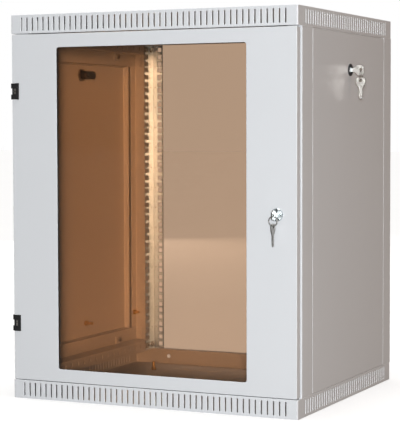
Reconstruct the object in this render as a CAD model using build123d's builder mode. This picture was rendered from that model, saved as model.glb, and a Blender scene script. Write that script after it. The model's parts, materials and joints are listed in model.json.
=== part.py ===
"""A 15-unit, 19-inch network cabinet: vented covers, folded frame, rails, glazed door and side panels.

Millimetres. The origin is the middle of the base's underside, the door faces -Y, and +Z is up.
"""

import os
from math import cos, radians, sin

from build123d import *

os.makedirs("parts", exist_ok=True)

# The cabinet
WIDTH = 600.0
DEPTH = 520.0
HEIGHT = 748.0
FRONT_Y = -DEPTH / 2
BACK_Y = DEPTH / 2
SIDE_X = WIDTH / 2
MIDDLE_Z = HEIGHT / 2
SHEET = 1.5
TOUCH = 0.5  # room left between neighbours that don't bear on each other

# Roof cover and base tray
COVER_HEIGHT = 36.0
COVER_RADIUS = 2.5
SIDE_LIP = 12.0
REAR_LIP = 17.0
FRONT_LIP = 35.0
VENT_PITCH = 12.0
VENT_LENGTH = 26.5
VENT_WIDTH = 3.0
VENT_Z = 18.25
FRONT_VENTS = 47
SIDE_VENTS = 38
WALL_HOLE_X = 218.0
WALL_HOLE_Z = 18.0
WALL_HOLE_RADIUS = 4.5
CABLE_OPENING = (105.0, 42.0)
CABLE_OPENING_X = 121.5
CABLE_OPENING_Y = 212.0
CABLE_COVER_LAP = 6.0
CABLE_COVER_SHEET = 1.0
DRAIN_HOLES_X = (-142.0, -59.0, 59.0, 142.0)
DRAIN_HOLE_Y = 256.6
DRAIN_HOLE_RADIUS = 1.5
FLOOR_STUD = (-208.0, 165.0)

# Frame: corner posts and side beams
FRAME_BOTTOM = COVER_HEIGHT
FRAME_TOP = HEIGHT - COVER_HEIGHT
POST_FRONT_Y = -240.0
FRONT_SEAM_Y = -188.0
REAR_SEAM_Y = 216.0
SEAM_LANDING = 12.0
FRONT_POST_WIDTH = 28.0
REAR_POST_WIDTH = 34.0
POST_BOX = 20.0
POST_INNER_X = 288.0
LANDING_X = 298.4
BEAM_HEIGHT = 48.0
BEAM_END_FLANGE = 14.0
BEAM_INNER_X = POST_INNER_X - SHEET
FRAME_SCREW_X = SIDE_X - 7.0
FRAME_SCREW_PITCH = 140.0
FRAME_SCREW_LENGTH = 10.0
FRAME_SCREW_HEAD = 4.9
STRIKE_SLOT = (9.0, 84.0)

# 19-inch rails and the bars that carry them
UNIT = 44.45
UNITS = 15
UNIT_HOLES = (6.35, 22.225, 38.1)
RACK_HOLE = 9.5
RACK_HOLE_X = 465.1 / 2
RAIL_FOLD_X = 250.0
RAIL_OPENING_X = 225.4
RAIL_SHEET = 2.0
RAIL_WEB = 43.5
RAIL_END_GAP = 1.0
REAR_RAIL_Y = 250.0
FRONT_RAIL_Y = -209.5
UNIT_DOT_RADIUS = 1.25
FACE_DOT_IN = 6.8
WEB_DOT_IN = 13.5
WEB_SLOT_HEIGHT = 9.0
WEB_SLOT_IN = 27.25
BOLT_IN = 13.0
BAR_SHEET = 2.0
BAR_SLOT_PITCH = 25.5
BAR_SLOTS = 18
BAR_SLOT = (9.5, 6.3)
BAR_FRONT_Y = -212.0
BAR_BACK_Y = 242.5
BAR_WEB_BOTTOM = 34.5
BAR_WEB_TOP = 57.0
BAR_TAB_Y = 150.0
BAR_TAB = (30.0, 15.0)
TAB_SCREW_Z = BAR_WEB_TOP + 8.0
RAIL_BOLT_LENGTH = 11.0
M6_RADIUS = 2.9
M6_CLEARANCE = 3.1
M6_HEAD_RADIUS = 6.0
M6_HEAD = 3.2
M6_NUT_FLATS = 10.0
M6_NUT = 5.0

# Side panels
PANEL_SHEET = 1.2
PANEL_TOP = 710.0
PANEL_BOTTOM = 36.6
PANEL_RETURN = 8.8
PANEL_RETURN_GAP = 1.0
PANEL_SEAM = 1.2
SIDE_LOCK_Y = 12.0
SIDE_LOCK_Z = 640.0
PANEL_STUD_Y = 24.0
PANEL_STUD_Z = 115.0
STUD_LENGTH = 18.0
POST_STUD_Y = 227.0
POST_STUD_Z = 118.0
POST_STUD_LENGTH = 12.0

# Door
DOOR_WIDTH = 596.0
DOOR_BOTTOM = 37.5
DOOR_TOP = 710.0
DOOR_DEPTH = 15.0
DOOR_SHEET = 1.2
DOOR_LIP = 14.0
WINDOW_X = 398.0
WINDOW_BOTTOM = 61.8
WINDOW_TOP = 684.0
WINDOW_RADIUS = 5.0
GLASS_LAP = 12.0
GLASS_SHEET = 4.0
GASKET_SHEET = 1.0
GASKET_INSET = 2.0
DOOR_LOCK_X = 259.2
DOOR_LOCK_Z = 371.1

# Door hinges
HINGE_X = -299.5
HINGE_Y = -254.0
HINGE_SPREAD = 226.5
HINGE_HEIGHT = 31.0
HINGE_NOTCH = 12.0
KNUCKLE_RADIUS = 4.5
LUG_RADIUS = 2.4
PIN_RADIUS = 1.25
PIN_RUNNING_GAP = 0.05
PIN_FIXED_GAP = 0.02
BLOCK_LEFT_X = -297.8
BLOCK_RIGHT_X = -283.6
BLOCK_FRONT_Y = FRONT_Y - 1.0
BLOCK_BACK_Y = -245.5
BLOCK_EAR = 22.0
BLOCK_EAR_SHEET = 3.0
BLOCK_SLOT = (5.0, 12.0)
BLOCK_SLOT_DEPTH = 2.0
BLOCK_SLOT_X = -292.0
SLOT_PLATE_SHEET = 1.2
LUG_PLATE_X = (-299.0, -273.0)
LUG_PLATE_HEIGHT = 40.0
LUG_SHEET = 3.0
LUG_SCREW_X = -286.0
LUG_SCREW_Z = 14.0
M4_RADIUS = 1.95
M4_CLEARANCE = 2.1
M4_HEAD_RADIUS = 3.6
M4_HEAD = 1.4

# Cam locks, in a plane on the panel's face: x right, y up, z outward
LOCK_HEAD_RADIUS = 11.8
LOCK_HEAD = 2.5
LOCK_BODY_RADIUS = 9.0
LOCK_HOLE_RADIUS = 9.1
LOCK_BODY_FLATS = 16.4
LOCK_NUT_FLATS = 24.0
LOCK_NUT = 4.0
PLUG_RADIUS = 6.0
PLUG_RUNNING_GAP = 0.05
PLUG_PROUD = 0.5
PLUG_DRIVE = 7.0
KEYWAY = (2.4, 8.0)
CAM_LENGTH = 37.0
CAM_RADIUS = 8.0
CAM_SHEET = 2.0
CAM_SCREW_HEAD = 5.0
KEY_SHEET = 1.9
KEY_LENGTH = 42.0
DOOR_KEY_OUT = 25.6
SIDE_KEY_OUT = 28.0
KEY_BOW_OUTLINE = ((0.0, 6.0), (-2.5, 8.5), (-8.5, 9.8), (-13.5, 8.4), (-18.0, 5.2), (-22.3, 3.5))
KEY_BLADE = 7.0
KEY_HOLE_RADIUS = 3.2
KEY_HOLE_IN = 5.8
KEY_CUTS = (1.4, 2.1, 1.1)
KEY_CUT_START = 3.2
KEY_CUT_PITCH = 3.2
RING_RADIUS = 8.3
RING_WIRE = 0.9
RING_HANG = 2.1
DOOR_LOCK_BODY = 22.0
SIDE_LOCK_BODY = 14.5

SIDES = (("left", -1), ("right", 1))

front_plane = Plane.XZ.offset(-FRONT_Y)
rack_bottom = MIDDLE_Z - UNITS * UNIT / 2
rack_hole_z = [rack_bottom + u * UNIT + z for u in range(UNITS) for z in UNIT_HOLES]
cable_openings = ((-CABLE_OPENING_X, CABLE_OPENING_Y), (CABLE_OPENING_X, CABLE_OPENING_Y))
unit_dot_z = [rack_bottom + u * UNIT for u in range(UNITS + 1)]
bolt_z = (rack_hole_z[0], rack_hole_z[-1])
mirror_height = Plane.XY.offset(MIDDLE_Z)


def save(name, piece):
    """Label a finished piece and write it."""
    piece.label = name
    export_step(piece, f"parts/{name}.step")


def folded_section(points, sheet):
    """Sketch the section of a sheet folded along square runs through these points."""
    for (x0, y0), (x1, y1) in zip(points, points[1:]):
        with Locations(((x0 + x1) / 2, (y0 + y1) / 2)):
            Rectangle(abs(x1 - x0) + sheet, abs(y1 - y0) + sheet)


def at_x(x, y, z, outward):
    """A plane facing sideways, with z outward along +X or -X and its y up."""
    return Plane(origin=(x, y, z), x_dir=(0, outward, 0), z_dir=(outward, 0, 0))


def at_front(x, y, z):
    """A plane facing forward, with its x to the right and its y up."""
    return Plane(origin=(x, y, z), x_dir=(1, 0, 0), z_dir=(0, -1, 0))


def screw(plane, radius, length, head_radius, head):
    """Add a domed-head screw: its head stands on the plane and its shank goes in along -z."""
    with BuildSketch(plane) as disc:
        Circle(head_radius)
    extrude(disc.sketch, amount=head)
    with BuildSketch(plane.offset(head)) as socket:
        RegularPolygon(head_radius * 0.42, 6)
    extrude(socket.sketch, amount=-head * 0.55, mode=Mode.SUBTRACT)
    with BuildSketch(plane) as shank:
        Circle(radius)
    extrude(shank.sketch, amount=-length)


# ---------------------------------------------------------------- roof cover and base tray

with BuildPart() as cover:
    with BuildSketch():
        RectangleRounded(WIDTH, DEPTH, COVER_RADIUS)
    extrude(amount=COVER_HEIGHT)
    with BuildSketch(Plane.XY.offset(SHEET)):
        RectangleRounded(WIDTH - 2 * SHEET, DEPTH - 2 * SHEET, COVER_RADIUS - SHEET)
    extrude(amount=COVER_HEIGHT - 2 * SHEET, mode=Mode.SUBTRACT)
    with BuildSketch(Plane.XY.offset(COVER_HEIGHT - SHEET)):
        with Locations((0, (FRONT_LIP - REAR_LIP) / 2)):
            Rectangle(WIDTH - 2 * SIDE_LIP, DEPTH - FRONT_LIP - REAR_LIP)
    extrude(amount=SHEET, mode=Mode.SUBTRACT)
    with BuildSketch(at_front(0, FRONT_Y, VENT_Z)):
        with GridLocations(VENT_PITCH, 1, FRONT_VENTS, 1):
            SlotOverall(VENT_LENGTH, VENT_WIDTH, rotation=90)
    extrude(amount=-SHEET, mode=Mode.SUBTRACT)
    for _, side in SIDES:
        with BuildSketch(at_x(side * SIDE_X, 0, VENT_Z, side)):
            with GridLocations(VENT_PITCH, 1, SIDE_VENTS, 1):
                SlotOverall(VENT_LENGTH, VENT_WIDTH, rotation=90)
        extrude(amount=-SHEET, mode=Mode.SUBTRACT)
    with BuildSketch(Plane.XZ.offset(-BACK_Y)):
        with Locations((-WALL_HOLE_X, WALL_HOLE_Z), (WALL_HOLE_X, WALL_HOLE_Z)):
            Circle(WALL_HOLE_RADIUS)
    extrude(amount=SHEET, mode=Mode.SUBTRACT)
    # screw holes through the side lips, into the beams above them
    with BuildSketch(Plane.XY.offset(COVER_HEIGHT)):
        with GridLocations(2 * FRAME_SCREW_X, FRAME_SCREW_PITCH, 2, 3):
            Circle(M6_CLEARANCE)
    extrude(amount=-SHEET, mode=Mode.SUBTRACT)

with BuildPart() as top_cover:
    mirror(cover.part, about=mirror_height)
save("top_cover", top_cover.part)

with BuildPart() as base_tray:
    add(cover.part)
    with BuildSketch():
        with Locations(*cable_openings):
            RectangleRounded(*CABLE_OPENING, 4)
        with Locations(FLOOR_STUD):
            Circle(M6_CLEARANCE)
        with Locations(*[(x, DRAIN_HOLE_Y) for x in DRAIN_HOLES_X]):
            Circle(DRAIN_HOLE_RADIUS)
    extrude(amount=SHEET, mode=Mode.SUBTRACT)
save("base_tray", base_tray.part)

with BuildPart() as cable_entry_covers:
    lap, play = CABLE_COVER_LAP, 2 * TOUCH
    with BuildSketch(Plane.XY.offset(SHEET)):
        with Locations(*cable_openings):
            RectangleRounded(CABLE_OPENING[0] + lap, CABLE_OPENING[1] + lap, 5)
    extrude(amount=CABLE_COVER_SHEET)
    with BuildSketch(Plane.XY.offset(SHEET)):
        with Locations(*cable_openings):
            RectangleRounded(CABLE_OPENING[0] - play, CABLE_OPENING[1] - play, 3.5)
    extrude(amount=TOUCH - SHEET)
save("cable_entry_covers", cable_entry_covers.part)

# ---------------------------------------------------------------- corner posts

half = SHEET / 2
post_ends = (
    # name, width, the outer face's Y, the seam's Y, and which way along Y the landing lies
    ("front", FRONT_POST_WIDTH, POST_FRONT_Y, FRONT_SEAM_Y, 1),
    ("rear", REAR_POST_WIDTH, BACK_Y, REAR_SEAM_Y, -1),
)
for end, width, face_y, seam_y, inward in post_ends:
    for hand, side in SIDES:
        lip_y = seam_y + inward * (SEAM_LANDING - half)
        seam = seam_y - inward * half
        face = face_y + inward * half
        box = face_y + inward * (POST_BOX + half)
        run = [
            (POST_INNER_X + half, lip_y),
            (LANDING_X - half, lip_y),
            (LANDING_X - half, seam),
            (SIDE_X - half, seam),
            (SIDE_X - half, face),
            (SIDE_X - width + half, face),
            (SIDE_X - width + half, box),
            (POST_INNER_X + half, box),
            (POST_INNER_X + half, seam_y - inward * 2),
        ]
        with BuildPart() as post:
            with BuildSketch(Plane.XY.offset(FRAME_BOTTOM)):
                folded_section([(side * x, y) for x, y in run], SHEET)
            extrude(amount=FRAME_TOP - FRAME_BOTTOM)
            if end == "front" and hand == "right":
                # the slot that the door lock's cam turns into
                slot_y = POST_FRONT_Y + SHEET + STRIKE_SLOT[0] / 2
                with Locations((SIDE_X - width, slot_y, MIDDLE_Z)):
                    Box(3 * SHEET, *STRIKE_SLOT, mode=Mode.SUBTRACT)
            if end == "front" and hand == "left":
                for level in (-1, 1):
                    for dz in (-LUG_SCREW_Z, LUG_SCREW_Z):
                        z = MIDDLE_Z + level * HINGE_SPREAD + dz
                        with BuildSketch(at_front(LUG_SCREW_X, POST_FRONT_Y, z)):
                            Circle(M4_CLEARANCE)
                        extrude(amount=-SHEET, mode=Mode.SUBTRACT)
            if end == "rear" and hand == "left":
                with BuildSketch(at_x(-POST_INNER_X, POST_STUD_Y, POST_STUD_Z, 1)):
                    Circle(M6_CLEARANCE)
                extrude(amount=-SHEET, mode=Mode.SUBTRACT)
        save(f"{end}_post_{hand}", post.part)

# ---------------------------------------------------------------- side beams

beam_plate_y = (POST_FRONT_Y + POST_BOX + 2 * SHEET, BACK_Y - POST_BOX - 2 * SHEET)
beam_flange_y = (FRONT_SEAM_Y + SEAM_LANDING, REAR_SEAM_Y - SEAM_LANDING)

with BuildPart() as beam:
    # a channel open to the outside, built for the right side at the bottom
    plate_y0, plate_y1 = beam_plate_y
    with BuildSketch(Plane.XY.offset(FRAME_BOTTOM)):
        with Locations((BEAM_INNER_X + half, (plate_y0 + plate_y1) / 2)):
            Rectangle(SHEET, plate_y1 - plate_y0)
        # flanges turned in over the posts' boxes
        with Locations(*[(POST_INNER_X - BEAM_END_FLANGE / 2, y) for y in (plate_y0 + half, plate_y1 - half)]):
            Rectangle(BEAM_END_FLANGE, SHEET)
    extrude(amount=BEAM_HEIGHT)
    for z in (FRAME_BOTTOM, FRAME_BOTTOM + BEAM_HEIGHT - SHEET):
        with BuildSketch(Plane.XY.offset(z)):
            with Locations(((POST_INNER_X + LANDING_X) / 2, sum(beam_flange_y) / 2)):
                Rectangle(LANDING_X - POST_INNER_X, beam_flange_y[1] - beam_flange_y[0])
        extrude(amount=SHEET)
    with BuildSketch(Plane.XY.offset(FRAME_BOTTOM)):
        with Locations((FRAME_SCREW_X, 0)):
            with GridLocations(1, FRAME_SCREW_PITCH, 1, 3):
                Circle(M6_CLEARANCE)
    extrude(amount=SHEET, mode=Mode.SUBTRACT)
    with BuildSketch(Plane.YZ.offset(BEAM_INNER_X)):
        with Locations((-BAR_TAB_Y, TAB_SCREW_Z), (BAR_TAB_Y, TAB_SCREW_Z)):
            Circle(M6_CLEARANCE)
    extrude(amount=SHEET, mode=Mode.SUBTRACT)

# ---------------------------------------------------------------- slotted depth bars

bar_slot_y = [REAR_RAIL_Y - BOLT_IN - i * BAR_SLOT_PITCH for i in range(BAR_SLOTS)]

with BuildPart() as bar:
    with BuildSketch(Plane.YZ.offset(RAIL_FOLD_X)):
        with Locations(((BAR_FRONT_Y + BAR_BACK_Y) / 2, (BAR_WEB_BOTTOM + BAR_WEB_TOP) / 2)):
            Rectangle(BAR_BACK_Y - BAR_FRONT_Y, BAR_WEB_TOP - BAR_WEB_BOTTOM)
        with Locations(*[(y, bolt_z[0]) for y in bar_slot_y]):
            SlotOverall(*BAR_SLOT, rotation=90, mode=Mode.SUBTRACT)
    extrude(amount=BAR_SHEET)
    flange_y1 = beam_plate_y[1] - SHEET - TOUCH
    with BuildSketch(Plane.XY.offset(BAR_WEB_TOP - BAR_SHEET)):
        with Locations(((RAIL_FOLD_X + BEAM_INNER_X) / 2, (BAR_FRONT_Y + flange_y1) / 2)):
            Rectangle(BEAM_INNER_X - RAIL_FOLD_X, flange_y1 - BAR_FRONT_Y)
    extrude(amount=BAR_SHEET)
    with BuildSketch(Plane.YZ.offset(BEAM_INNER_X)):
        for y in (-BAR_TAB_Y, BAR_TAB_Y):
            with Locations((y, BAR_WEB_TOP + BAR_TAB[1] / 2)):
                Rectangle(*BAR_TAB)
            with Locations((y, TAB_SCREW_Z)):
                Circle(M6_CLEARANCE, mode=Mode.SUBTRACT)
    extrude(amount=-BAR_SHEET)

for kind, lower_right in (("side_beam", beam.part), ("depth_bar", bar.part)):
    with BuildPart() as upper_right:
        mirror(lower_right, about=mirror_height)
    for level, piece in (("lower", lower_right), ("upper", upper_right.part)):
        with BuildPart() as left:
            mirror(piece, about=Plane.YZ)
        save(f"{kind}_{level}_left", left.part)
        with BuildPart() as right:
            add(piece)
        save(f"{kind}_{level}_right", right.part)

# ---------------------------------------------------------------- 19-inch rails

rail_bottom = FRAME_BOTTOM + RAIL_END_GAP
rail_height = FRAME_TOP - FRAME_BOTTOM - 2 * RAIL_END_GAP

with BuildPart() as rail:
    # the rear right rail: the holed face looks forward and its web runs forward from the fold
    with BuildSketch(Plane.XZ.offset(-REAR_RAIL_Y)):
        with Locations(((RAIL_OPENING_X + RAIL_FOLD_X) / 2, MIDDLE_Z)):
            Rectangle(RAIL_FOLD_X - RAIL_OPENING_X, rail_height)
        with Locations(*[(RACK_HOLE_X, z) for z in rack_hole_z]):
            Rectangle(RACK_HOLE, RACK_HOLE, mode=Mode.SUBTRACT)
        with Locations(*[(RAIL_FOLD_X - FACE_DOT_IN, z) for z in unit_dot_z]):
            Circle(UNIT_DOT_RADIUS, mode=Mode.SUBTRACT)
    extrude(amount=RAIL_SHEET)
    with BuildSketch(Plane.YZ.offset(RAIL_FOLD_X)):
        with Locations((REAR_RAIL_Y - RAIL_WEB / 2, MIDDLE_Z)):
            Rectangle(RAIL_WEB, rail_height)
        # slots open at the web's free edge
        with Locations(*[(REAR_RAIL_Y - RAIL_WEB, z) for z in rack_hole_z]):
            Rectangle(2 * (RAIL_WEB - WEB_SLOT_IN), WEB_SLOT_HEIGHT, mode=Mode.SUBTRACT)
        with Locations(*[(REAR_RAIL_Y - WEB_DOT_IN, z) for z in unit_dot_z[1:-1]]):
            Circle(UNIT_DOT_RADIUS, mode=Mode.SUBTRACT)
        with Locations(*[(REAR_RAIL_Y - BOLT_IN, z) for z in bolt_z]):
            Circle(M6_CLEARANCE, mode=Mode.SUBTRACT)
    extrude(amount=-RAIL_SHEET)
    fold = rail.edges().filter_by(Axis.Z).sort_by_distance((RAIL_FOLD_X, REAR_RAIL_Y, MIDDLE_Z))[0]
    fillet(fold, RAIL_SHEET * 0.9)

# the front rails are the same section turned about, with the face at the front
with BuildPart() as front_rail:
    mirror(rail.part, about=Plane.XZ.offset(-(REAR_RAIL_Y + FRONT_RAIL_Y) / 2))
for end, right_piece in (("rear", rail.part), ("front", front_rail.part)):
    with BuildPart() as rail_left:
        mirror(right_piece, about=Plane.YZ)
    save(f"rail_{end}_left", rail_left.part)
    with BuildPart() as rail_right:
        add(right_piece)
    save(f"rail_{end}_right", rail_right.part)

# ---------------------------------------------------------------- frame fasteners

bolt_y = [REAR_RAIL_Y - BOLT_IN, REAR_RAIL_Y - BOLT_IN - BAR_SLOT_PITCH]
bolt_y += [FRONT_RAIL_Y + BOLT_IN, FRONT_RAIL_Y + BOLT_IN + BAR_SLOT_PITCH]
bolt_places = [(side, y, z) for _, side in SIDES for y in bolt_y for z in bolt_z]

with BuildPart() as rail_bolts:
    for side, y, z in bolt_places:
        x = side * (RAIL_FOLD_X - RAIL_SHEET)
        screw(at_x(x, y, z, -side), M6_RADIUS, RAIL_BOLT_LENGTH, M6_HEAD_RADIUS, M6_HEAD)
save("rail_bolts", rail_bolts.part)

with BuildPart() as rail_nuts:
    for side, y, z in bolt_places:
        with BuildSketch(at_x(side * (RAIL_FOLD_X + BAR_SHEET), y, z, side)):
            RegularPolygon(M6_NUT_FLATS / 2, 6, major_radius=False)
            Circle(M6_RADIUS + PIN_RUNNING_GAP, mode=Mode.SUBTRACT)
        extrude(amount=M6_NUT)
save("rail_nuts", rail_nuts.part)

with BuildPart() as frame_screws:
    for _, side in SIDES:
        for up in (-1, 1):
            # through a cover's lip into the beam's flange
            z = MIDDLE_Z + up * (MIDDLE_Z - COVER_HEIGHT + SHEET)
            for y in (-FRAME_SCREW_PITCH, 0, FRAME_SCREW_PITCH):
                lip = Plane(origin=(side * FRAME_SCREW_X, y, z), x_dir=(1, 0, 0), z_dir=(0, 0, up))
                screw(lip, M6_RADIUS, FRAME_SCREW_LENGTH, FRAME_SCREW_HEAD, M6_HEAD)
            # through a depth bar's tab into the beam's plate
            z = MIDDLE_Z + up * (MIDDLE_Z - TAB_SCREW_Z)
            for y in (-BAR_TAB_Y, BAR_TAB_Y):
                tab = at_x(side * (BEAM_INNER_X - BAR_SHEET), y, z, -side)
                screw(tab, M6_RADIUS, FRAME_SCREW_LENGTH, FRAME_SCREW_HEAD, M6_HEAD)
save("frame_screws", frame_screws.part)

floor_stud_plane = Plane(origin=(*FLOOR_STUD, SHEET))
post_stud_plane = at_x(-POST_INNER_X, POST_STUD_Y, POST_STUD_Z, 1)
earth_places = ((floor_stud_plane, STUD_LENGTH), (post_stud_plane, POST_STUD_LENGTH))

with BuildPart() as earth_studs:
    for plane, length in earth_places:
        with BuildSketch(plane.offset(-SHEET)):
            Circle(M6_RADIUS)
        extrude(amount=length + SHEET)
save("earth_studs", earth_studs.part)

with BuildPart() as earth_nuts:
    for plane, _ in earth_places:
        with BuildSketch(plane):
            RegularPolygon(M6_NUT_FLATS / 2, 6, major_radius=False)
            Circle(M6_RADIUS + PIN_RUNNING_GAP, mode=Mode.SUBTRACT)
        extrude(amount=M6_NUT)
save("earth_nuts", earth_nuts.part)

# ---------------------------------------------------------------- side panels

panel_y = (FRONT_SEAM_Y + PANEL_SEAM, REAR_SEAM_Y - PANEL_SEAM)
return_y = (beam_flange_y[0] + PANEL_RETURN_GAP, beam_flange_y[1] - PANEL_RETURN_GAP)
return_z = (
    FRAME_BOTTOM + BEAM_HEIGHT + PANEL_RETURN_GAP,
    FRAME_TOP - BEAM_HEIGHT - PANEL_RETURN_GAP,
)

for hand, side in SIDES:
    with BuildPart() as side_panel:
        skin_plane = at_x(side * SIDE_X, sum(panel_y) / 2, (PANEL_BOTTOM + PANEL_TOP) / 2, side)
        with BuildSketch(skin_plane):
            RectangleRounded(panel_y[1] - panel_y[0], PANEL_TOP - PANEL_BOTTOM, 1.5)
        extrude(amount=-PANEL_SHEET)
        ring_plane = at_x(side * (SIDE_X - PANEL_SHEET), sum(return_y) / 2, sum(return_z) / 2, side)
        with BuildSketch(ring_plane):
            long, high = return_y[1] - return_y[0], return_z[1] - return_z[0]
            Rectangle(long, high)
            Rectangle(long - 2 * PANEL_SHEET, high - 2 * PANEL_SHEET, mode=Mode.SUBTRACT)
        extrude(amount=-PANEL_RETURN)
        with BuildSketch(at_x(side * SIDE_X, SIDE_LOCK_Y, SIDE_LOCK_Z, side)):
            Circle(LOCK_HOLE_RADIUS)
        extrude(amount=-PANEL_SHEET, mode=Mode.SUBTRACT)
    save(f"side_panel_{hand}", side_panel.part)

    with BuildPart() as earth_stud:
        inner = at_x(side * (SIDE_X - PANEL_SHEET), PANEL_STUD_Y, PANEL_STUD_Z, -side)
        with BuildSketch(inner):
            Circle(M6_RADIUS)
        extrude(amount=STUD_LENGTH)
        with BuildSketch(inner.offset(TOUCH / 2)):
            RegularPolygon(M6_NUT_FLATS / 2, 6, major_radius=False)
            Circle(M6_RADIUS + PIN_RUNNING_GAP, mode=Mode.SUBTRACT)
        extrude(amount=M6_NUT)
    save(f"earth_stud_{hand}", earth_stud.part)

# ---------------------------------------------------------------- door

door_height = DOOR_TOP - DOOR_BOTTOM
door_z = (DOOR_TOP + DOOR_BOTTOM) / 2
window_height = WINDOW_TOP - WINDOW_BOTTOM
window_z = (WINDOW_TOP + WINDOW_BOTTOM) / 2
skin_inside = front_plane.offset(-DOOR_SHEET)

with BuildPart() as door_frame:
    with BuildSketch(front_plane):
        with Locations((0, door_z)):
            RectangleRounded(DOOR_WIDTH, door_height, 2)
    extrude(amount=-DOOR_DEPTH)
    with BuildSketch(skin_inside):
        with Locations((0, door_z)):
            Rectangle(DOOR_WIDTH - 2 * DOOR_SHEET, door_height - 2 * DOOR_SHEET)
    extrude(amount=-DOOR_DEPTH + 2 * DOOR_SHEET, mode=Mode.SUBTRACT)
    with BuildSketch(front_plane.offset(-DOOR_DEPTH)):
        with Locations((0, door_z)):
            Rectangle(DOOR_WIDTH - 2 * DOOR_LIP, door_height - 2 * DOOR_LIP)
    extrude(amount=DOOR_SHEET, mode=Mode.SUBTRACT)
    with BuildSketch(front_plane):
        with Locations((0, window_z)):
            RectangleRounded(WINDOW_X, window_height, WINDOW_RADIUS)
        with Locations((DOOR_LOCK_X, DOOR_LOCK_Z)):
            Circle(LOCK_HOLE_RADIUS)
    extrude(amount=-DOOR_SHEET, mode=Mode.SUBTRACT)
    for level in (-1, 1):
        # the corner that the hinge block fills
        z = MIDDLE_Z + level * HINGE_SPREAD
        with BuildSketch(front_plane):
            with Locations((-DOOR_WIDTH / 2, z)):
                cut_width = 2 * (DOOR_WIDTH / 2 + BLOCK_RIGHT_X + TOUCH)
                Rectangle(cut_width, HINGE_HEIGHT + 2 * TOUCH)
        extrude(amount=-DOOR_DEPTH, mode=Mode.SUBTRACT)
save("door_frame", door_frame.part)

glass_size = (WINDOW_X + 2 * GLASS_LAP, window_height + 2 * GLASS_LAP)

with BuildPart() as glass_gasket:
    with BuildSketch(skin_inside):
        with Locations((0, window_z)):
            RectangleRounded(*glass_size, WINDOW_RADIUS)
            inset = 2 * GASKET_INSET
            RectangleRounded(WINDOW_X + inset, window_height + inset, WINDOW_RADIUS, mode=Mode.SUBTRACT)
    extrude(amount=-GASKET_SHEET)
save("glass_gasket", glass_gasket.part)

with BuildPart() as door_glass:
    with BuildSketch(skin_inside.offset(-GASKET_SHEET)):
        with Locations((0, window_z)):
            RectangleRounded(*glass_size, WINDOW_RADIUS)
    extrude(amount=-GLASS_SHEET)
    chamfer(door_glass.faces().sort_by(Axis.Y)[-1].edges(), 0.5)
save("door_glass", door_glass.part)

# ---------------------------------------------------------------- door hinges

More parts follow.
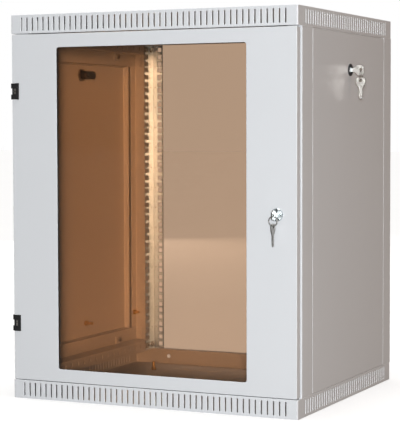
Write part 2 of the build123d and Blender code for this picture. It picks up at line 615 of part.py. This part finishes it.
for level_name, level in (("lower", -1), ("upper", 1)):
    z = MIDDLE_Z + level * HINGE_SPREAD
    bottom = Plane.XY.offset(z - HINGE_HEIGHT / 2)
    block_depth = BLOCK_BACK_Y - BLOCK_FRONT_Y
    block_width = BLOCK_RIGHT_X - BLOCK_LEFT_X

    with BuildPart() as hinge_block:
        with BuildSketch(bottom):
            with Locations(((BLOCK_LEFT_X + BLOCK_RIGHT_X) / 2, (BLOCK_FRONT_Y + BLOCK_BACK_Y) / 2)):
                Rectangle(block_width, block_depth)
            with Locations((HINGE_X, HINGE_Y)):
                Circle(KNUCKLE_RADIUS)
        extrude(amount=HINGE_HEIGHT)
        edges = hinge_block.edges().filter_by(Axis.Z)
        chamfer(edges.sort_by_distance((BLOCK_RIGHT_X, BLOCK_FRONT_Y, z))[0], 0.9)
        # the notch that the frame's lug turns in, closed at the front by a wall
        clear = LUG_RADIUS + TOUCH
        with BuildSketch(Plane.XY.offset(z - HINGE_NOTCH / 2)):
            with Locations((BLOCK_LEFT_X, HINGE_Y)):
                Rectangle(20, 30, align=(Align.MAX, Align.CENTER))
            with Locations((HINGE_X + clear, HINGE_Y - clear)):
                Rectangle(20, 30, align=(Align.MAX, Align.MIN))
        extrude(amount=HINGE_NOTCH, mode=Mode.SUBTRACT)
        # the recess that shows the plated clamp plate
        with BuildSketch(at_front(BLOCK_SLOT_X, BLOCK_FRONT_Y, z)):
            RectangleRounded(*BLOCK_SLOT, 1)
        extrude(amount=-BLOCK_SLOT_DEPTH, mode=Mode.SUBTRACT)
        # the ear behind the door's skin
        with BuildSketch(Plane.XZ.offset(-FRONT_Y - DOOR_SHEET)):
            with Locations((BLOCK_RIGHT_X + BLOCK_EAR / 2 - 1, z)):
                Rectangle(BLOCK_EAR + 2, HINGE_HEIGHT)
        extrude(amount=-BLOCK_EAR_SHEET)
        with BuildSketch(bottom):
            with Locations((HINGE_X, HINGE_Y)):
                Circle(PIN_RADIUS + PIN_FIXED_GAP)
        extrude(amount=HINGE_HEIGHT, mode=Mode.SUBTRACT)
        with BuildSketch(Plane.XZ.offset(-FRONT_Y - DOOR_SHEET)):
            with Locations((BLOCK_RIGHT_X + BLOCK_EAR / 2, z)):
                Circle(M4_CLEARANCE)
        extrude(amount=-BLOCK_EAR_SHEET, mode=Mode.SUBTRACT)
    save(f"hinge_block_{level_name}", hinge_block.part)

    with BuildPart() as hinge_lug:
        arm_height = HINGE_NOTCH - 2 * TOUCH
        with BuildSketch(Plane.XY.offset(z - arm_height / 2)):
            with Locations((HINGE_X, HINGE_Y)):
                Circle(LUG_RADIUS)
            # the arm stops short of the block's front wall, which lies beside it at 180 degrees
            arm_left = 2 * HINGE_X - BLOCK_LEFT_X + TOUCH
            arm_right = HINGE_X + LUG_RADIUS
            with Locations(((arm_left + arm_right) / 2, (HINGE_Y + POST_FRONT_Y) / 2)):
                Rectangle(arm_right - arm_left, POST_FRONT_Y - HINGE_Y)
        extrude(amount=arm_height)
        plate_left, plate_right = LUG_PLATE_X
        with BuildSketch(at_front((plate_left + plate_right) / 2, POST_FRONT_Y, z)):
            RectangleRounded(plate_right - plate_left, LUG_PLATE_HEIGHT, 2)
        extrude(amount=LUG_SHEET)
        with BuildSketch(Plane.XY.offset(z - HINGE_HEIGHT / 2)):
            with Locations((HINGE_X, HINGE_Y)):
                Circle(PIN_RADIUS + PIN_RUNNING_GAP)
        extrude(amount=HINGE_HEIGHT, mode=Mode.SUBTRACT)
        with BuildSketch(at_front(LUG_SCREW_X, POST_FRONT_Y, z)):
            with Locations((0, -LUG_SCREW_Z), (0, LUG_SCREW_Z)):
                Circle(M4_CLEARANCE)
        extrude(amount=LUG_SHEET, mode=Mode.SUBTRACT)
    save(f"hinge_lug_{level_name}", hinge_lug.part)

with BuildPart() as hinge_pins:
    for level in (-1, 1):
        with BuildSketch(Plane.XY.offset(MIDDLE_Z + level * HINGE_SPREAD - HINGE_HEIGHT / 2)):
            with Locations((HINGE_X, HINGE_Y)):
                Circle(PIN_RADIUS)
        extrude(amount=HINGE_HEIGHT)
    chamfer(hinge_pins.edges().filter_by(GeomType.CIRCLE), 0.3)
save("hinge_pins", hinge_pins.part)

with BuildPart() as hinge_lug_screws:
    for level in (-1, 1):
        for dz in (-LUG_SCREW_Z, LUG_SCREW_Z):
            z = MIDDLE_Z + level * HINGE_SPREAD + dz
            head_plane = at_front(LUG_SCREW_X, POST_FRONT_Y - LUG_SHEET, z)
            screw(head_plane, M4_RADIUS, LUG_SHEET + 6, M4_HEAD_RADIUS, M4_HEAD)
save("hinge_lug_screws", hinge_lug_screws.part)

with BuildPart() as hinge_block_screws:
    for level in (-1, 1):
        x = BLOCK_RIGHT_X + BLOCK_EAR / 2
        ear_back = Plane(
            origin=(x, FRONT_Y + DOOR_SHEET + BLOCK_EAR_SHEET, MIDDLE_Z + level * HINGE_SPREAD),
            x_dir=(1, 0, 0),
            z_dir=(0, 1, 0),
        )
        screw(ear_back, M4_RADIUS, BLOCK_EAR_SHEET, M4_HEAD_RADIUS, M4_HEAD)
        slot_floor = at_front(BLOCK_SLOT_X, BLOCK_FRONT_Y + BLOCK_SLOT_DEPTH, ear_back.origin.Z)
        with BuildSketch(slot_floor):
            RectangleRounded(BLOCK_SLOT[0] - TOUCH, BLOCK_SLOT[1] - TOUCH, 0.8)
        extrude(amount=SLOT_PLATE_SHEET)
save("hinge_block_screws", hinge_block_screws.part)

# ---------------------------------------------------------------- cam locks and keys


def lock_housing(plane, body, sheet):
    """The round head outside the panel and the threaded body through it, bored for the plug."""
    with BuildPart() as housing:
        with BuildSketch(plane):
            Circle(LOCK_HEAD_RADIUS)
        extrude(amount=LOCK_HEAD)
        chamfer(housing.faces().sort_by(Axis(plane.origin, plane.z_dir))[-1].edges(), 0.8)
        with BuildSketch(plane):
            Circle(LOCK_BODY_RADIUS)
        extrude(amount=-body)
        with BuildSketch(plane.offset(-sheet - LOCK_NUT)):
            Rectangle(2 * LOCK_HEAD_RADIUS, 2 * LOCK_HEAD_RADIUS)
            Rectangle(2 * LOCK_HEAD_RADIUS, LOCK_BODY_FLATS, mode=Mode.SUBTRACT)
        extrude(amount=-body + sheet + LOCK_NUT, mode=Mode.SUBTRACT)
        with BuildSketch(plane.offset(LOCK_HEAD)):
            Circle(PLUG_RADIUS + PLUG_RUNNING_GAP)
        extrude(amount=-body - LOCK_HEAD, mode=Mode.SUBTRACT)
    return housing.part


def lock_nut(plane, sheet):
    """The hexagon nut that clamps the housing from behind the panel."""
    with BuildPart() as nut:
        with BuildSketch(plane.offset(-sheet)):
            RegularPolygon(LOCK_NUT_FLATS / 2, 6, major_radius=False)
            Circle(LOCK_BODY_RADIUS + PLUG_RUNNING_GAP, mode=Mode.SUBTRACT)
        extrude(amount=-LOCK_NUT)
    return nut.part


def lock_plug(plane, body, key_out):
    """The turning plug: keyway at the front, square drive and screw hole at the back."""
    with BuildPart() as plug:
        with BuildSketch(plane.offset(LOCK_HEAD + PLUG_PROUD)):
            Circle(PLUG_RADIUS)
        extrude(amount=-body - LOCK_HEAD - PLUG_PROUD)
        with BuildSketch(plane.offset(LOCK_HEAD + PLUG_PROUD)):
            Rectangle(*KEYWAY)
        extrude(amount=-LOCK_HEAD - PLUG_PROUD - KEY_LENGTH + key_out - 1, mode=Mode.SUBTRACT)
        back = plane.offset(-body)
        with BuildSketch(back):
            Rectangle(PLUG_DRIVE, PLUG_DRIVE)
        extrude(amount=-CAM_SHEET)
    return plug.part


def lock_cam(plane, body, rest_angle):
    """The lever behind the panel, at its unlocked angle."""
    with BuildPart() as cam:
        with BuildSketch(plane.offset(-body)):
            Circle(CAM_RADIUS)
            tip = (
                (CAM_LENGTH - CAM_RADIUS) * cos(radians(rest_angle)),
                (CAM_LENGTH - CAM_RADIUS) * sin(radians(rest_angle)),
            )
            with Locations(tip):
                Circle(CAM_RADIUS)
            with Locations((tip[0] / 2, tip[1] / 2)):
                Rectangle(CAM_LENGTH - CAM_RADIUS, 2 * CAM_RADIUS, rotation=rest_angle)
            Rectangle(PLUG_DRIVE + 0.1, PLUG_DRIVE + 0.1, mode=Mode.SUBTRACT)
        extrude(amount=-CAM_SHEET)
    return cam.part


def lock_cam_screw(plane, body):
    """The hexagon-headed screw that holds the cam on the plug's drive."""
    with BuildPart() as cam_screw:
        with BuildSketch(plane.offset(-body - CAM_SHEET)):
            RegularPolygon(CAM_SCREW_HEAD, 6)
        extrude(amount=-M6_HEAD)
    return cam_screw.part


def key(bow_end, along, sheet_normal):
    """A flat key: its bow ends at bow_end, and along points from its tip to there."""
    flat = Plane(origin=bow_end, x_dir=along, z_dir=sheet_normal)
    with BuildPart() as flat_key:
        with BuildSketch(flat):
            with BuildLine():
                one_edge = Spline(*KEY_BOW_OUTLINE)
                other_edge = Spline(*((x, -y) for x, y in KEY_BOW_OUTLINE))
                Line(one_edge @ 0, other_edge @ 0)
                Line(one_edge @ 1, other_edge @ 1)
            make_face()
            with Locations(((KEY_BLADE / 2 - KEY_LENGTH) / 2, 0)):
                Rectangle(KEY_LENGTH - KEY_BLADE / 2, KEY_BLADE)
            with Locations((KEY_BLADE / 2 - KEY_LENGTH, 0)):
                Rectangle(KEY_BLADE * sin(radians(45)), KEY_BLADE * sin(radians(45)), rotation=45)
            with Locations((-KEY_HOLE_IN, 0)):
                Circle(KEY_HOLE_RADIUS, mode=Mode.SUBTRACT)
            for number, depth in enumerate(KEY_CUTS):
                with Locations((KEY_CUT_START + number * KEY_CUT_PITCH - KEY_LENGTH, KEY_BLADE / 2)):
                    Rectangle(depth, depth, rotation=45, mode=Mode.SUBTRACT)
        extrude(amount=KEY_SHEET / 2, both=True)
    return flat_key.part


def key_ring(plane, hole_z):
    """The split ring, hanging from the hole of the key that is in the lock."""
    centre = plane.origin + plane.z_dir * hole_z - plane.y_dir * (RING_HANG + RING_RADIUS)
    with BuildPart(Plane(origin=centre, x_dir=plane.x_dir, z_dir=plane.z_dir)) as ring:
        Torus(RING_RADIUS, RING_WIRE)
    return ring.part


LOCKS = (
    # name, plane on the outer face, body length, sheet, the cam's angle at rest, key length outside
    ("door", at_front(DOOR_LOCK_X, FRONT_Y, DOOR_LOCK_Z), DOOR_LOCK_BODY, DOOR_SHEET, 90, DOOR_KEY_OUT),
    ("left", at_x(-SIDE_X, SIDE_LOCK_Y, SIDE_LOCK_Z, -1), SIDE_LOCK_BODY, PANEL_SHEET, 180, SIDE_KEY_OUT),
    ("right", at_x(SIDE_X, SIDE_LOCK_Y, SIDE_LOCK_Z, 1), SIDE_LOCK_BODY, PANEL_SHEET, 180, SIDE_KEY_OUT),
)

for lock, plane, body, sheet, cam_angle, key_out in LOCKS:
    save(f"{lock}_lock_housing", lock_housing(plane, body, sheet))
    save(f"{lock}_lock_nut", lock_nut(plane, sheet))
    save(f"{lock}_lock_plug", lock_plug(plane, body, key_out))
    save(f"{lock}_lock_cam", lock_cam(plane, body, cam_angle))
    save(f"{lock}_lock_cam_screw", lock_cam_screw(plane, body))
    if lock != "left":
        hole_z = key_out - KEY_HOLE_IN
        save(f"{lock}_key", key(plane.origin + plane.z_dir * key_out, plane.z_dir, plane.x_dir))
        save(f"{lock}_key_ring", key_ring(plane, hole_z))
        # the spare hangs with the top of its hole on the ring's lowest point
        wire_y = RING_HANG + 2 * RING_RADIUS
        spare_y = wire_y + RING_HANG - KEY_HOLE_IN
        spare_end = plane.origin + plane.z_dir * hole_z - plane.y_dir * spare_y
        save(f"{lock}_spare_key", key(spare_end, plane.y_dir, plane.x_dir))
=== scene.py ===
"""Looks for the 15-unit network cabinet.

Painted sheet steel, bronze glass, plated rails, locks and keys.
"""

import json
import math

import bpy
from mathutils import Matrix, Vector

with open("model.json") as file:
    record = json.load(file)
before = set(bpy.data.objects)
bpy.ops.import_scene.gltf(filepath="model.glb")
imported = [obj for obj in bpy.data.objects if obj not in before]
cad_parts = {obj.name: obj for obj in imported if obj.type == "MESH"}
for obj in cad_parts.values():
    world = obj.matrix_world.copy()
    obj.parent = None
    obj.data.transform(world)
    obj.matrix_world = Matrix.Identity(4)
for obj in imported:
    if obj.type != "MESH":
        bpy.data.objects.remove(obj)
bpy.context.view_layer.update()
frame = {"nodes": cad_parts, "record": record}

# ---------------------------------------------------------------- camera

IMAGE_HEIGHT = 429
SENSOR = 36.0
FOCAL_PIXELS = 1592.5
CAMERA_AZIMUTH = math.radians(25.255)
CAMERA_ELEVATION = math.radians(3.118)
CAMERA_ROLL = math.radians(-0.166)
CAMERA_DISTANCE = 3.223
CAMERA_AIM = Vector((0, 0, 0.374))
CAMERA_SLIDE = (-0.01557, -0.02056)  # right and up, off the line through the aim point


def place_camera():
    back = Vector((
        math.sin(CAMERA_AZIMUTH) * math.cos(CAMERA_ELEVATION),
        -math.cos(CAMERA_AZIMUTH) * math.cos(CAMERA_ELEVATION),
        math.sin(CAMERA_ELEVATION),
    ))
    level_right = Vector((0, 0, 1)).cross(back).normalized()
    level_up = back.cross(level_right)
    right = level_right * math.cos(CAMERA_ROLL) + level_up * math.sin(CAMERA_ROLL)
    up = level_up * math.cos(CAMERA_ROLL) - level_right * math.sin(CAMERA_ROLL)
    place = CAMERA_AIM + back * CAMERA_DISTANCE + right * CAMERA_SLIDE[0] + up * CAMERA_SLIDE[1]
    lens = bpy.data.cameras.new("view_camera")
    lens.sensor_width = SENSOR
    lens.lens = FOCAL_PIXELS / IMAGE_HEIGHT * SENSOR
    lens.clip_end = 50
    camera = bpy.data.objects.new("view_camera", lens)
    turn = Matrix((right, up, back)).transposed().to_4x4()
    camera.matrix_world = Matrix.Translation(place) @ turn
    bpy.context.scene.collection.objects.link(camera)
    bpy.context.scene.camera = camera


place_camera()

# ---------------------------------------------------------------- materials

NOISE_LOW, NOISE_HIGH = 0.3, 0.7  # a noise texture's values lie mostly between these
EDGE_SAMPLES = 6
EDGE_NONE, EDGE_FULL = 0.99, 0.80  # cosine between a flat normal and the rounded one
FOLD_RADIUS, FOLD_PAINTED_HIGHLIGHT = 0.0018, 1.5  # folds in the paint, paled there as a painted highlight
EDGE_SHADE_RADIUS, EDGE_PAINTED_SHADE = 0.0022, 0.3  # plated sheet darkened along cut and folded edges as painted shade


class Surface:
    """A new material's nodes, with short ways to add the ones that every finish here uses."""

    def __init__(self, name, **settings):
        self.material = bpy.data.materials.new(name)
        self.material.use_nodes = True
        self.nodes = self.material.node_tree.nodes
        self.links = self.material.node_tree.links
        self.shader = self.nodes["Principled BSDF"]
        for socket, value in settings.items():
            self.shader.inputs[socket.replace("_", " ")].default_value = value
        self.place = self.nodes.new("ShaderNodeTexCoord").outputs["Object"]

    def stretched(self, scale):
        """Object coordinates scaled on each axis, in cells per metre."""
        mapping = self.nodes.new("ShaderNodeMapping")
        mapping.inputs["Scale"].default_value = scale
        self.links.new(self.place, mapping.inputs["Vector"])
        return mapping.outputs["Vector"]

    def noise(self, scale, detail=2.0, rough=0.5, vector=None):
        texture = self.nodes.new("ShaderNodeTexNoise")
        texture.inputs["Scale"].default_value = scale
        texture.inputs["Detail"].default_value = detail
        texture.inputs["Roughness"].default_value = rough
        self.links.new(vector or self.place, texture.inputs["Vector"])
        return texture.outputs["Fac"]

    def ramp(self, factor, low, high):
        """Blend from one colour to another over the range of a noise."""
        ramp = self.nodes.new("ShaderNodeValToRGB")
        first, last = ramp.color_ramp.elements
        first.position, last.position = NOISE_LOW, NOISE_HIGH
        first.color, last.color = (*low, 1), (*high, 1)
        self.links.new(factor, ramp.inputs["Fac"])
        return ramp.outputs["Color"]

    def spread(self, factor, low, high):
        """Map the range of a noise onto a range of values."""
        span = self.nodes.new("ShaderNodeMapRange")
        span.inputs["From Min"].default_value = NOISE_LOW
        span.inputs["From Max"].default_value = NOISE_HIGH
        span.inputs["To Min"].default_value = low
        span.inputs["To Max"].default_value = high
        self.links.new(factor, span.inputs["Value"])
        return span.outputs["Result"]

    def bump(self, height, distance, strength=1.0, over=None):
        bump = self.nodes.new("ShaderNodeBump")
        bump.inputs["Distance"].default_value = distance
        bump.inputs["Strength"].default_value = strength
        self.links.new(height, bump.inputs["Height"])
        if over:
            self.links.new(over, bump.inputs["Normal"])
        self.links.new(bump.outputs["Normal"], self.shader.inputs["Normal"])

    def rounded(self, radius):
        """The normal of edges rounded to a radius, and how near each point is to such an edge."""
        bevel = self.nodes.new("ShaderNodeBevel")
        bevel.samples = EDGE_SAMPLES
        bevel.inputs["Radius"].default_value = radius
        flat = self.nodes.new("ShaderNodeNewGeometry").outputs["Normal"]
        match = self.nodes.new("ShaderNodeVectorMath")
        match.operation = "DOT_PRODUCT"
        self.links.new(bevel.outputs["Normal"], match.inputs[0])
        self.links.new(flat, match.inputs[1])
        nearness = self.nodes.new("ShaderNodeMapRange")
        nearness.inputs["From Min"].default_value = EDGE_NONE
        nearness.inputs["From Max"].default_value = EDGE_FULL
        self.links.new(match.outputs["Value"], nearness.inputs["Value"])
        return bevel.outputs["Normal"], nearness.outputs["Result"]

    def mixed(self, factor, colour, other):
        """A colour output moved towards a fixed colour by a factor."""
        mix = self.nodes.new("ShaderNodeMix")
        mix.data_type = "RGBA"
        mix.inputs["B"].default_value = (*other, 1)
        self.links.new(factor, mix.inputs["Factor"])
        self.links.new(colour, mix.inputs["A"])
        return mix.outputs["Result"]

    def feed(self, socket, output):
        self.links.new(output, self.shader.inputs[socket])


def painted_metal(name, low, high):
    """Semi-gloss powder coat: fine orange peel, slowly drifting tone, and folds paled as a painted
    highlight.
    """
    paint = Surface(name, IOR=1.5)
    fold_normal, fold_highlight = paint.rounded(FOLD_RADIUS)
    drift = paint.ramp(paint.noise(scale=2.5, detail=3), low, high)
    # painted highlight: the base colour is paled along rounded folds
    paint.feed("Base Color", paint.mixed(fold_highlight, drift, tuple(FOLD_PAINTED_HIGHLIGHT * c for c in high)))
    paint.feed("Roughness", paint.spread(paint.noise(scale=8), low=0.33, high=0.36))
    peel = paint.noise(scale=900, detail=1)
    paint.bump(peel, distance=0.00001, strength=0.3, over=fold_normal)
    return paint.material


def plated_steel(name, low, high, roughness, grain=(40, 40, 900), streak=0.07):
    """Plated sheet with a drawn grain and cloudy patches, and painted shade darkening it where it
    is cut or folded.
    """
    plate = Surface(name, Metallic=1.0)
    clouds = plate.ramp(plate.noise(scale=22, detail=4, rough=0.6), low, high)
    edge = plate.rounded(EDGE_SHADE_RADIUS)[1]
    # painted shade: the colour is darkened along cut edges and folds
    plate.feed("Base Color", plate.mixed(edge, clouds, tuple(EDGE_PAINTED_SHADE * c for c in low)))
    lines = plate.noise(scale=1.0, detail=3, rough=0.6, vector=plate.stretched(grain))
    plate.feed("Roughness", plate.spread(lines, roughness - streak, roughness + streak))
    plate.bump(lines, distance=0.00002, strength=0.6)
    return plate.material


def moulded_plastic(name, colour, roughness):
    """Satin black moulding with a spark-eroded grain."""
    shade = tuple(min(1, 1.35 * c) for c in colour)
    plastic = Surface(name, IOR=1.48)
    plastic.feed("Base Color", plastic.ramp(plastic.noise(scale=90), colour, shade))
    patches = plastic.noise(scale=400)
    plastic.feed("Roughness", plastic.spread(patches, roughness - 0.06, roughness + 0.06))
    plastic.bump(plastic.noise(scale=2200), distance=0.00004)
    return plastic.material


def polished_metal(name, low, high, roughness, scratches):
    """Plated die casting: bright, with faint hairlines."""
    metal = Surface(name, Metallic=1.0)
    metal.feed("Base Color", metal.ramp(metal.noise(scale=120, detail=3), low, high))
    along = metal.stretched((scratches, scratches / 8, scratches / 8))
    hairlines = metal.noise(scale=1.0, vector=along)
    metal.feed("Roughness", metal.spread(hairlines, roughness * 0.6, roughness * 1.4))
    metal.bump(hairlines, distance=0.000015, strength=0.5)
    return metal.material


def foam_rubber(name):
    """Matt black open-cell foam."""
    foam = Surface(name, IOR=1.4)
    cells = foam.noise(scale=700, detail=3)
    foam.feed("Base Color", foam.ramp(cells, (0.012, 0.012, 0.012), (0.03, 0.03, 0.03)))
    foam.feed("Roughness", foam.spread(foam.noise(scale=300), low=0.8, high=0.95))
    foam.bump(foam.noise(scale=2500, detail=3), distance=0.0001)
    return foam.material


GLASS_TINT = (0.695, 0.575, 0.475)  # what one face of the sheet passes
LAMP_TINT = (0.98, 0.80, 0.63)  # and what it passes of a lamp's light
TINT_DRIFT = 0.015
GLASS_MIRROR, GLANCING_MIRROR = 0.045, 0.9  # share mirrored face on and edge on
GLASS_STEEPNESS = 5.0  # how late the mirror share rises as the view gets glancing


def bronze_glass(name):
    """Body-tinted float glass: each face tints what passes and mirrors more at a glancing angle."""
    glass = Surface(name)
    nodes, links = glass.nodes, glass.links
    nodes.remove(glass.shader)
    clear = nodes.new("ShaderNodeBsdfTransparent")
    drift = glass.ramp(
        glass.noise(scale=1.5),
        tuple((1 - TINT_DRIFT) * c for c in GLASS_TINT),
        tuple((1 + TINT_DRIFT) * c for c in GLASS_TINT),
    )
    path = nodes.new("ShaderNodeLightPath")
    lamp_or_view = nodes.new("ShaderNodeMix")
    lamp_or_view.data_type = "RGBA"
    lamp_or_view.inputs["B"].default_value = (*LAMP_TINT, 1)
    links.new(path.outputs["Is Shadow Ray"], lamp_or_view.inputs["Factor"])
    links.new(drift, lamp_or_view.inputs["A"])
    links.new(lamp_or_view.outputs["Result"], clear.inputs["Color"])
    mirror = nodes.new("ShaderNodeBsdfGlossy")
    mirror.inputs["Roughness"].default_value = 0.03
    facing = nodes.new("ShaderNodeLayerWeight")
    facing.inputs["Blend"].default_value = 0.5
    steep = nodes.new("ShaderNodeMath")
    steep.operation = "POWER"
    steep.inputs[1].default_value = GLASS_STEEPNESS
    links.new(facing.outputs["Facing"], steep.inputs[0])
    share = nodes.new("ShaderNodeMapRange")
    share.inputs["To Min"].default_value = GLASS_MIRROR
    share.inputs["To Max"].default_value = GLANCING_MIRROR
    links.new(steep.outputs[0], share.inputs["Value"])
    mix = nodes.new("ShaderNodeMixShader")
    links.new(share.outputs["Result"], mix.inputs["Fac"])
    links.new(clear.outputs[0], mix.inputs[1])
    links.new(mirror.outputs[0], mix.inputs[2])
    links.new(mix.outputs[0], nodes["Material Output"].inputs["Surface"])
    return glass.material


MATERIALS = {
    "cabinet_paint": painted_metal(
        "powder_coat_grey", low=(0.60, 0.615, 0.635), high=(0.615, 0.63, 0.65)
    ),
    "tinted_glass": bronze_glass("bronze_glass"),
    "gasket_foam": foam_rubber("black_foam"),
    "zinc_plate": plated_steel(
        "zinc_rail",
        low=(0.62, 0.75, 0.88),
        high=(0.72, 0.85, 0.97),
        roughness=0.34,
        grain=(900, 900, 30),
        streak=0.02,
    ),
    "fastener_steel": plated_steel(
        "zinc_fastener", low=(0.52, 0.51, 0.49), high=(0.70, 0.69, 0.67), roughness=0.3
    ),
    "earth_brass": plated_steel(
        "earth_brass", low=(0.80, 0.52, 0.22), high=(0.92, 0.68, 0.34), roughness=0.4
    ),
    "hinge_black": moulded_plastic("hinge_black", (0.008, 0.008, 0.009), roughness=0.5),
    "lock_chrome": polished_metal(
        "lock_chrome",
        low=(0.50, 0.56, 0.60),
        high=(0.62, 0.69, 0.73),
        roughness=0.30,
        scratches=500,
    ),
    "lock_black": moulded_plastic("lock_black", (0.02, 0.02, 0.022), roughness=0.35),
    "lock_steel": plated_steel(
        "lock_steel", low=(0.34, 0.32, 0.29), high=(0.46, 0.44, 0.41), roughness=0.36
    ),
    "key_nickel": polished_metal(
        "key_nickel",
        low=(0.24, 0.23, 0.215),
        high=(0.36, 0.35, 0.33),
        roughness=0.36,
        scratches=2200,
    ),
}

for part in frame["record"]["subparts"]:
    node = frame["nodes"][part["node"]]
    node.data.materials.clear()
    node.data.materials.append(MATERIALS[part["material_slot"]])

# ---------------------------------------------------------------- floor and light

FLOOR_REACH = 30.0
FLOOR_SEEN = ((0.42, 0.42, 0.42), (0.44, 0.44, 0.44))
FLOOR_BOUNCED = (0.14, 0.135, 0.13)  # the colour that lights the cabinet from below
FLOOR_GLOW = 0.54  # seen by the camera only: keeps the white even, near and far


def pale_floor():
    """A wide plain floor, which looks paler to the camera than it does to bounced light."""
    mesh = bpy.data.meshes.new("studio_floor")
    signs = ((-1, -1), (1, -1), (1, 1), (-1, 1))
    corners = [(x * FLOOR_REACH, y * FLOOR_REACH, 0) for x, y in signs]
    mesh.from_pydata(corners, [], [(0, 1, 2, 3)])
    floor = bpy.data.objects.new("studio_floor", mesh)
    bpy.context.scene.collection.objects.link(floor)
    card = Surface("pale_floor")
    pale = card.ramp(card.noise(scale=1.2), *FLOOR_SEEN)
    seen_or_bounced = card.nodes.new("ShaderNodeMix")
    seen_or_bounced.data_type = "RGBA"
    seen_or_bounced.inputs["A"].default_value = (*FLOOR_BOUNCED, 1)
    path = card.nodes.new("ShaderNodeLightPath")
    card.links.new(path.outputs["Is Camera Ray"], seen_or_bounced.inputs["Factor"])
    card.links.new(pale, seen_or_bounced.inputs["B"])
    card.feed("Base Color", seen_or_bounced.outputs["Result"])
    glow = card.nodes.new("ShaderNodeMath")
    glow.operation = "MULTIPLY"
    card.links.new(path.outputs["Is Camera Ray"], glow.inputs[0])
    glow.inputs[1].default_value = FLOOR_GLOW
    card.feed("Emission Strength", glow.outputs[0])
    card.shader.inputs["Emission Color"].default_value = (1, 1, 1, 1)
    card.feed("Roughness", card.spread(card.noise(scale=8), low=0.8, high=0.9))
    mesh.materials.append(card.material)


def add_light(kind, name, place, aim, power, colour, mirrored=True, **settings):
    """Point a lamp from a place at an aim; unless mirrored, shiny surfaces don't reflect it."""
    lamp = bpy.data.lights.new(name, kind)
    lamp.energy = power
    lamp.color = colour
    for setting, value in settings.items():
        setattr(lamp, setting, value)
    light = bpy.data.objects.new(name, lamp)
    light.location = place
    light.rotation_euler = (Vector(aim) - Vector(place)).to_track_quat("-Z", "Y").to_euler()
    light.visible_camera = False
    light.visible_glossy = mirrored
    bpy.context.scene.collection.objects.link(light)


def studio_world(seen, lighting, strength):
    """A white sweep where the camera looks, and a dimmer fill for everything else."""
    world = bpy.data.worlds.new("studio")
    world.use_nodes = True
    nodes, links = world.node_tree.nodes, world.node_tree.links
    fill = nodes["Background"]
    fill.inputs["Color"].default_value = (*lighting, 1)
    fill.inputs["Strength"].default_value = strength
    sweep = nodes.new("ShaderNodeBackground")
    sweep.inputs["Color"].default_value = (*seen, 1)
    path = nodes.new("ShaderNodeLightPath")
    mix = nodes.new("ShaderNodeMixShader")
    links.new(path.outputs["Is Camera Ray"], mix.inputs["Fac"])
    links.new(fill.outputs[0], mix.inputs[1])
    links.new(sweep.outputs[0], mix.inputs[2])
    links.new(mix.outputs[0], nodes["World Output"].inputs["Surface"])
    bpy.context.scene.world = world


pale_floor()
studio_world(seen=(1, 1, 1), lighting=(1.0, 0.93, 0.86), strength=0.06)
add_light(
    "AREA",
    "flash",
    place=(1.815, -4.12, 0.675),
    aim=(0, 0, 0.40),
    power=190,
    colour=(0.98, 0.99, 1.0),
    size=0.4,
)
add_light(
    "SUN",
    "overhead",
    place=(0, 0, 3),
    aim=(0, 0, 0),
    power=3.1,
    colour=(1.0, 0.98, 0.96),
    angle=math.radians(30),
)
add_light(
    "AREA",
    "flank",
    place=(3.2, 0.4, 0.7),
    aim=(0.3, 0, 0.4),
    power=13,
    colour=(1.0, 0.50, 0.18),
    mirrored=False,
    size=1.2,
)
add_light(
    "AREA",
    "rear",
    place=(-2.6, 3.2, 1.2),
    aim=(-0.1, 0.1, 0.4),
    power=48,
    colour=(1.0, 0.98, 0.95),
    mirrored=False,
    size=2.0,
)
add_light(
    "AREA",
    "inside",
    place=(0.0, -0.08, 0.37),
    aim=(-0.7, 0.62, 0.35),
    power=0.44,
    colour=(1.0, 0.50, 0.20),
    mirrored=False,
    shape="RECTANGLE",
    size=0.40,
    size_y=0.61,
    spread=math.radians(24),
)
bpy.context.scene.view_settings.view_transform = "Standard"
